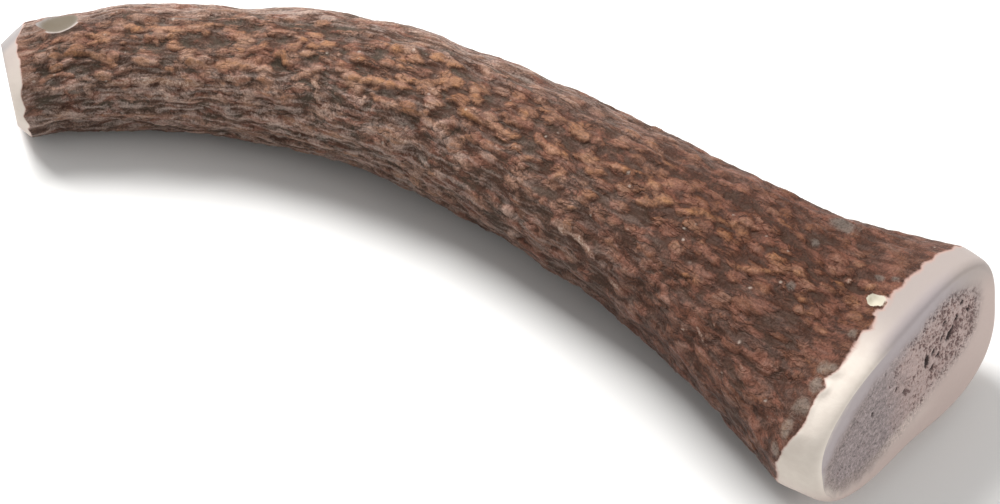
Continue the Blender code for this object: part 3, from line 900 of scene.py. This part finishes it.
    # Bare bone where the edge is ground through the bark, pink right under it. It is bluish beside
    # the wide cut, dull in the sanded spot and fresh in the chip.
    add_rows(
        tree, known,
        ("bluish", EASE, "onward", LENGTH - 3.4, LENGTH + 0.3, 0.0, 0.85),
        *(("bluish", TIMES, "bluish", [EASE, *limit]) for limit in (
            ("upward", -2.0, 5.0), ("outward", 20.0, 9.0), ("outward", -13.0, -3.0))),
        ("wall", PAINT, "bluish", "wall", "Bluish"),
        ("spot", EASE, [TIMES_PLUS, "grainy", 0.4, "sanded"], 0.3, 0.75),
        ("wall", PAINT, "spot", "wall", "Sanded spot"),
        ("wall", PAINT, [EASE, "chipped", 0.1, 0.4], "wall", "Chip"),
        ("clean", LARGER, [EASE, "over", 0.05, 0.4], [EASE, "sanded", 0.1, 0.4]),
        ("clean", LARGER, "clean", [EASE, "chipped", 0.2, 0.5]),
        ("bone", PAINT, "clean", "Pink", "wall"),
        ("colour", PAINT, [EASE, "over", 0.0, 0.2], "bark", "bone"),
        ("gloss", EASE, "crest", 0.0, 1.0, 0.6, 0.4),
        ("bump", BUMP, [EASE, "over", 0.0, 0.2, 0.8, 0.1], BARK_BUMP * MM, "rise"),
        ("surface", SURFACE, [SHADER, "colour", "gloss", BARK_SPECULAR, "bump"]))
    return material


def cut_material(chosen):
    """Antler bone sawn across and sanded: a dense pale wall round a spongy mauve-grey marrow.

    The wall turns bluish towards the marrow, which is darkest at its edge and full of open pores, whose
    insides are darkened with painted shade.
    """
    material, tree, known = bare_material("antler_marrow_sawn", KEPT_FOR_CUT, chosen)
    add_marrow_pattern(tree, known)
    add_bone_wall(tree, known)
    for name, *field in (
            ("cloud", 0.5, 4.0, 0.6), ("mottle", 1.3, 4.0, 0.7), ("grain", 3.2, 3.0, 0.7)):
        add_rows(tree, known, (name, MINUS, [NOISE, "straight", *field], 0.5))

    # Uneven depth inside the marrow's edge, and what lies along it
    add_rows(
        tree, known,
        ("edge", TIMES_PLUS, "mottle", 1.8, [TIMES_PLUS, "cloud", 2.0, "marrow"]),
        ("bluish", TIMES, [EASE, "edge", -6.5, -2.4, 0.0, 0.95], [EASE, "upward", -5.0, 3.0]),
        ("bluish", TIMES, "bluish", [EASE, "outward", 20.0, 9.0]),
        ("colour", PAINT, "bluish", "wall", "Bluish"),
        ("high", EASE, "upward", -3.0, 5.0, 0.2, 0.6),
        ("darkest", LARGER, "high", [EASE, "outward", -2.0, -14.0, 0.0, 0.85]),
        ("colour", PAINT, [TIMES, [EASE, "edge", -1.8, 0.8], "darkest"], "colour", "Rim"),
        ("outer", EASE, [TIMES_PLUS, "cloud", 8.0, "outward"], -9.0, 3.0),
        ("sponge", PAINT, "outer", "Grey marrow", "Pink marrow"),
        ("colour", PAINT, [EASE, "edge", 0.6, 2.8], "colour", "sponge"))

    # Speckle, which is strong in the marrow, then threads of bone, pores and big pores
    add_rows(
        tree, known,
        ("texture", TIMES_PLUS, "grain", 0.8, [TIMES, "mottle", 0.9]),
        ("speckle", TIMES_PLUS, "texture", [EASE, "edge", -0.8, 0.8, 0.08, 2.48], 1.0),
        ("colour", SCALED, "colour", "speckle"),
        ("inside", EASE, "edge", -0.8, 0.8),
        ("netted", TIMES, [EASE, "thread", -0.05, -0.35, 0.0, 0.6], "inside"),
        ("colour", PAINT, [TIMES, "netted", "outer"], "colour", "Thread"),
        # Painted shade inside the pores
        ("hole", TIMES, "pore", [EASE, "edge", -0.2, 1.2, 0.0, 0.8]),
        ("colour", PAINT, "hole", "colour", "Pore"),
        # Near black painted shade inside the biggest pores
        ("torn", EASE, [TIMES_PLUS, "grain", 0.9, "pit"], 0.15, 0.5, 0.0, 0.95),
        ("colour", PAINT, "torn", "colour", "Pit"),
        ("rise", TIMES_PLUS, "texture", "inside", [TIMES, "hole", -0.8]),
        ("bump", BUMP, CUT_BUMP_STRENGTH, CUT_BUMP * MM, "rise"),
        ("surface", SURFACE, [SHADER, "colour", CUT_ROUGHNESS, CUT_SPECULAR, "bump"]))
    return material


def paper_material(colour):
    """Matt paper, which shows only the soft shadow of what stands on it."""
    material, tree, known = bare_material("floor_paper")
    add_rows(tree, known, ("surface", SURFACE, [SHADER, (*colour, 1.0), FLOOR_ROUGHNESS]))
    return material


# Settings

def tint(name, description, hex_colour):
    return bpy.props.FloatVectorProperty(
        name=name, description=description, subtype="COLOR", size=3, min=0.0, max=1.0,
        default=linear(hex_colour))


def span(name, description, millimetres):
    return bpy.props.FloatProperty(
        name=name, description=description, unit="LENGTH", min=0.0, precision=5,
        default=millimetres * MM)


class BarkSettings(bpy.types.PropertyGroup):
    ridge_pitch: span("Ridge pitch", "Distance between fine ridges round the beam", 2.4)
    ridge_length: span("Ridge length", "Length of a fine ridge along the beam", 3.9)
    waver: span("Waver", "How far the ridges swing to the side", 2.2)
    fray: span("Fray", "How far the edges of ridges and marks are frayed", 0.6)
    furrow_depth: span("Furrow depth", "Depth of the furrows between fine ridges", 0.7)
    grain_depth: span("Grain depth", "Depth of the small grain on the ridges", 0.12)
    brown_dark: tint("Dark brown", "Darker mottling of the bark", "#47291b")
    brown_light: tint("Light brown", "Lighter mottling of the bark", "#865b43")
    grey_dark: tint("Dark grey", "Darker mottling of the sheltered side", "#48362e")
    grey_light: tint("Light grey", "Lighter mottling of the sheltered side", "#9a7e6f")
    red_dark: tint("Dark red", "Darker mottling over the flare", "#32180e")
    red_light: tint("Light red", "Lighter mottling over the flare", "#653a26")
    flush: tint("Flush", "Pinkish patches", "#7d5040")
    # Stain in the furrows, also laid on as painted shade there
    furrow: tint("Furrow", "Stain left in the furrows", "#482e22")
    furrow_green: tint("Green stain", "Stain left by moss in the furrows", "#483e33")
    silver: tint("Silver", "Pale streaks of the sheltered side", "#c0aca1")
    tan: tint("Tan", "Pinkish tan on rubbed ridges", "#a0775f")
    orange: tint("Orange", "Orange tan on rubbed ridges", "#9b6d4a")
    amber: tint("Amber", "Orange on the beads that stand up most", "#a1734d")
    flank: tint("Flank", "Browner sides of the beads", "#7c5038")
    crust: tint("Crust", "Bluish grey crust", "#857d74")
    crust_dark: tint("Dark crust", "Crust in the hollows", "#6c625a")
    scrape: tint("Scrape", "Bark scraped down to pale bone", "#b9a99c")


class BoneSettings(bpy.types.PropertyGroup):
    pore_spacing: span("Pore spacing", "Distance between pores of the marrow", 0.56)
    pore_depth: span("Pore depth", "Depth of the open pores", 0.35)
    pink: tint("Pink", "Bone right under the bark", "#b9988d")
    cream: tint("Cream", "Dense bone, ground", "#dcd2c7")
    shaded: tint("Shaded", "Duller clouds in the dense bone", "#d5cabf")
    # Pink bone, darker than the cream as painted shade on the outer side and the underside
    rose: tint("Rose", "Dense bone on the outer side of the bend", "#baa8a1")
    sanded: tint("Sanded spot", "Dull bone in the sanded spot", "#665c4e")
    # Painted shade that dulls the bone on top of the ground edge
    top: tint("Top", "Greyer bone on top of the ground edge", "#a39994")
    # Painted shade on top of the narrow cut's edge
    facet: tint("Facet", "Greyer bone on top of the narrow cut's edge", "#908b8a")
    bluish: tint("Bluish", "Dense bone beside the marrow", "#a59b9d")
    rim: tint("Rim", "Dark edge of the marrow", "#877976")
    marrow_pink: tint("Pink marrow", "Marrow of the outer half", "#9f8882")
    marrow_grey: tint("Grey marrow", "Marrow of the inner half", "#928584")
    # Painted shade inside the pores
    pore: tint("Pore", "Inside of the pores", "#664c4a")
    chip: tint("Chip", "Fresh bone where bark chipped off", "#c4bdab")
    # Near black painted shade inside the biggest pores
    pit: tint("Pit", "Inside of the biggest pores", "#2a1b1a")
    thread: tint("Thread", "Fine threads of bone in the marrow", "#bba7a2")


class StageSettings(bpy.types.PropertyGroup):
    floor: tint("Floor", "Colour of the plain floor", "#ecebe9")


SETTINGS = {"antler_bark": BarkSettings, "antler_bone": BoneSettings, "antler_stage": StageSettings}

# The fixed seed of the bark's pattern
SEED = 3.0


def chosen_values(*groups):
    """Give the sizes, in millimetres, and the colours by the names that the panel shows."""
    sizes, colours = {"Seed": SEED}, {}
    for settings in groups:
        for name in settings.__annotations__:
            shown, value = settings.bl_rna.properties[name].name, getattr(settings, name)
            if isinstance(value, float):
                sizes[shown] = value / MM
            else:
                colours[shown] = (*value, 1.0)
    return sizes, colours


# Operators

class ANTLER_OT_chew(bpy.types.Operator):
    """Build the antler chew in place of its plain solid"""
    bl_idname = "antler.chew"
    bl_label = "Build antler chew"

    def execute(self, context):
        sizes, colours = chosen_values(context.scene.antler_bark, context.scene.antler_bone)
        chosen = {**sizes, **colours}
        materials = (bark_material(chosen), cut_material(chosen))
        mesh = apply_relief(outline_mesh(), sizes, materials)
        fit_to_solid(mesh)
        mesh.name = "antler_chew_bone"
        chew = bpy.data.objects.new("antler_chew_bone", mesh)
        context.scene.collection.objects.link(chew)
        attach(chew, BODY)
        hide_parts(NODE)
        return {"FINISHED"}


# Half the floor's width in metres, and how matt it is
FLOOR_HALF, FLOOR_ROUGHNESS = 3.0, 0.9
WORLD_STRENGTH = 0.47
# Name, place and size in metres, and power in watts
LAMPS = (("overhead", (-0.3, 0.42, 0.62), 0.42, 9.6), ("side_fill", (0.75, -0.3, 0.4), 0.6, 2.6))
# Middle of the outline's stations in the solid's frame, which the camera is aimed at
CAMERA_AIM = (0.0055, 0.00836, -0.00015)
# Millimetres, metres from there, and how far above the level it looks from
CAMERA_LENS, CAMERA_DISTANCE, CAMERA_ELEVATION = 85.0, 0.430, math.radians(46.0)


class ANTLER_OT_stage(bpy.types.Operator):
    """Set up the pale floor, the soft studio light and the camera"""
    bl_idname = "antler.stage"
    bl_label = "Set up studio"

    def execute(self, context):
        scene = context.scene
        scene.view_settings.view_transform = "Standard"
        floor_mesh = bpy.data.meshes.new("floor")
        corners = [(x * FLOOR_HALF, y * FLOOR_HALF, 0) for x, y in ((-1, -1), (1, -1), (1, 1), (-1, 1))]
        floor_mesh.from_pydata(corners, [], [(0, 1, 2, 3)])
        floor_mesh.materials.append(paper_material(scene.antler_stage.floor))
        floor = bpy.data.objects.new("floor", floor_mesh)
        scene.collection.objects.link(floor)

        world = bpy.data.worlds.new("studio")
        world.use_nodes = True
        background = world.node_tree.nodes["Background"].inputs
        background["Color"].default_value = (1, 1, 1, 1)
        background["Strength"].default_value = WORLD_STRENGTH
        scene.world = world

        for name, place, size, power in LAMPS:
            data = bpy.data.lights.new(name, "AREA")
            data.size = size
            data.energy = power
            lamp = bpy.data.objects.new(name, data)
            lamp.location = place
            lamp.rotation_euler = (-Vector(place)).to_track_quat("-Z", "Y").to_euler()
            scene.collection.objects.link(lamp)

        data = bpy.data.cameras.new("camera")
        data.lens = CAMERA_LENS
        camera = bpy.data.objects.new("camera", data)
        back = Vector((0, -math.cos(CAMERA_ELEVATION), math.sin(CAMERA_ELEVATION)))
        camera.location = Vector(CAMERA_AIM) + back * CAMERA_DISTANCE
        camera.rotation_euler = (math.pi / 2 - CAMERA_ELEVATION, 0, 0)
        scene.collection.objects.link(camera)
        scene.camera = camera
        return {"FINISHED"}


class ANTLER_PT_panel(bpy.types.Panel):
    """Sizes, colours and build steps of the antler chew"""
    bl_idname = "ANTLER_PT_panel"
    bl_label = "Antler chew"
    bl_space_type = "VIEW_3D"
    bl_region_type = "UI"
    bl_category = "Antler"

    def draw(self, context):
        for group in SETTINGS:
            settings = getattr(context.scene, group)
            box = self.layout.box()
            for name in settings.__annotations__:
                box.prop(settings, name)
        self.layout.operator(ANTLER_OT_chew.bl_idname)
        self.layout.operator(ANTLER_OT_stage.bl_idname)


CLASSES = (*SETTINGS.values(), ANTLER_OT_chew, ANTLER_OT_stage, ANTLER_PT_panel)


def register():
    for cls in CLASSES:
        bpy.utils.register_class(cls)
    for name, group in SETTINGS.items():
        setattr(bpy.types.Scene, name, bpy.props.PointerProperty(type=group))


def unregister():
    for name in SETTINGS:
        delattr(bpy.types.Scene, name)
    for cls in reversed(CLASSES):
        bpy.utils.unregister_class(cls)


def main():
    register()
    bpy.ops.antler.stage()
    bpy.ops.antler.chew()


if __name__ == "__main__":
    main()
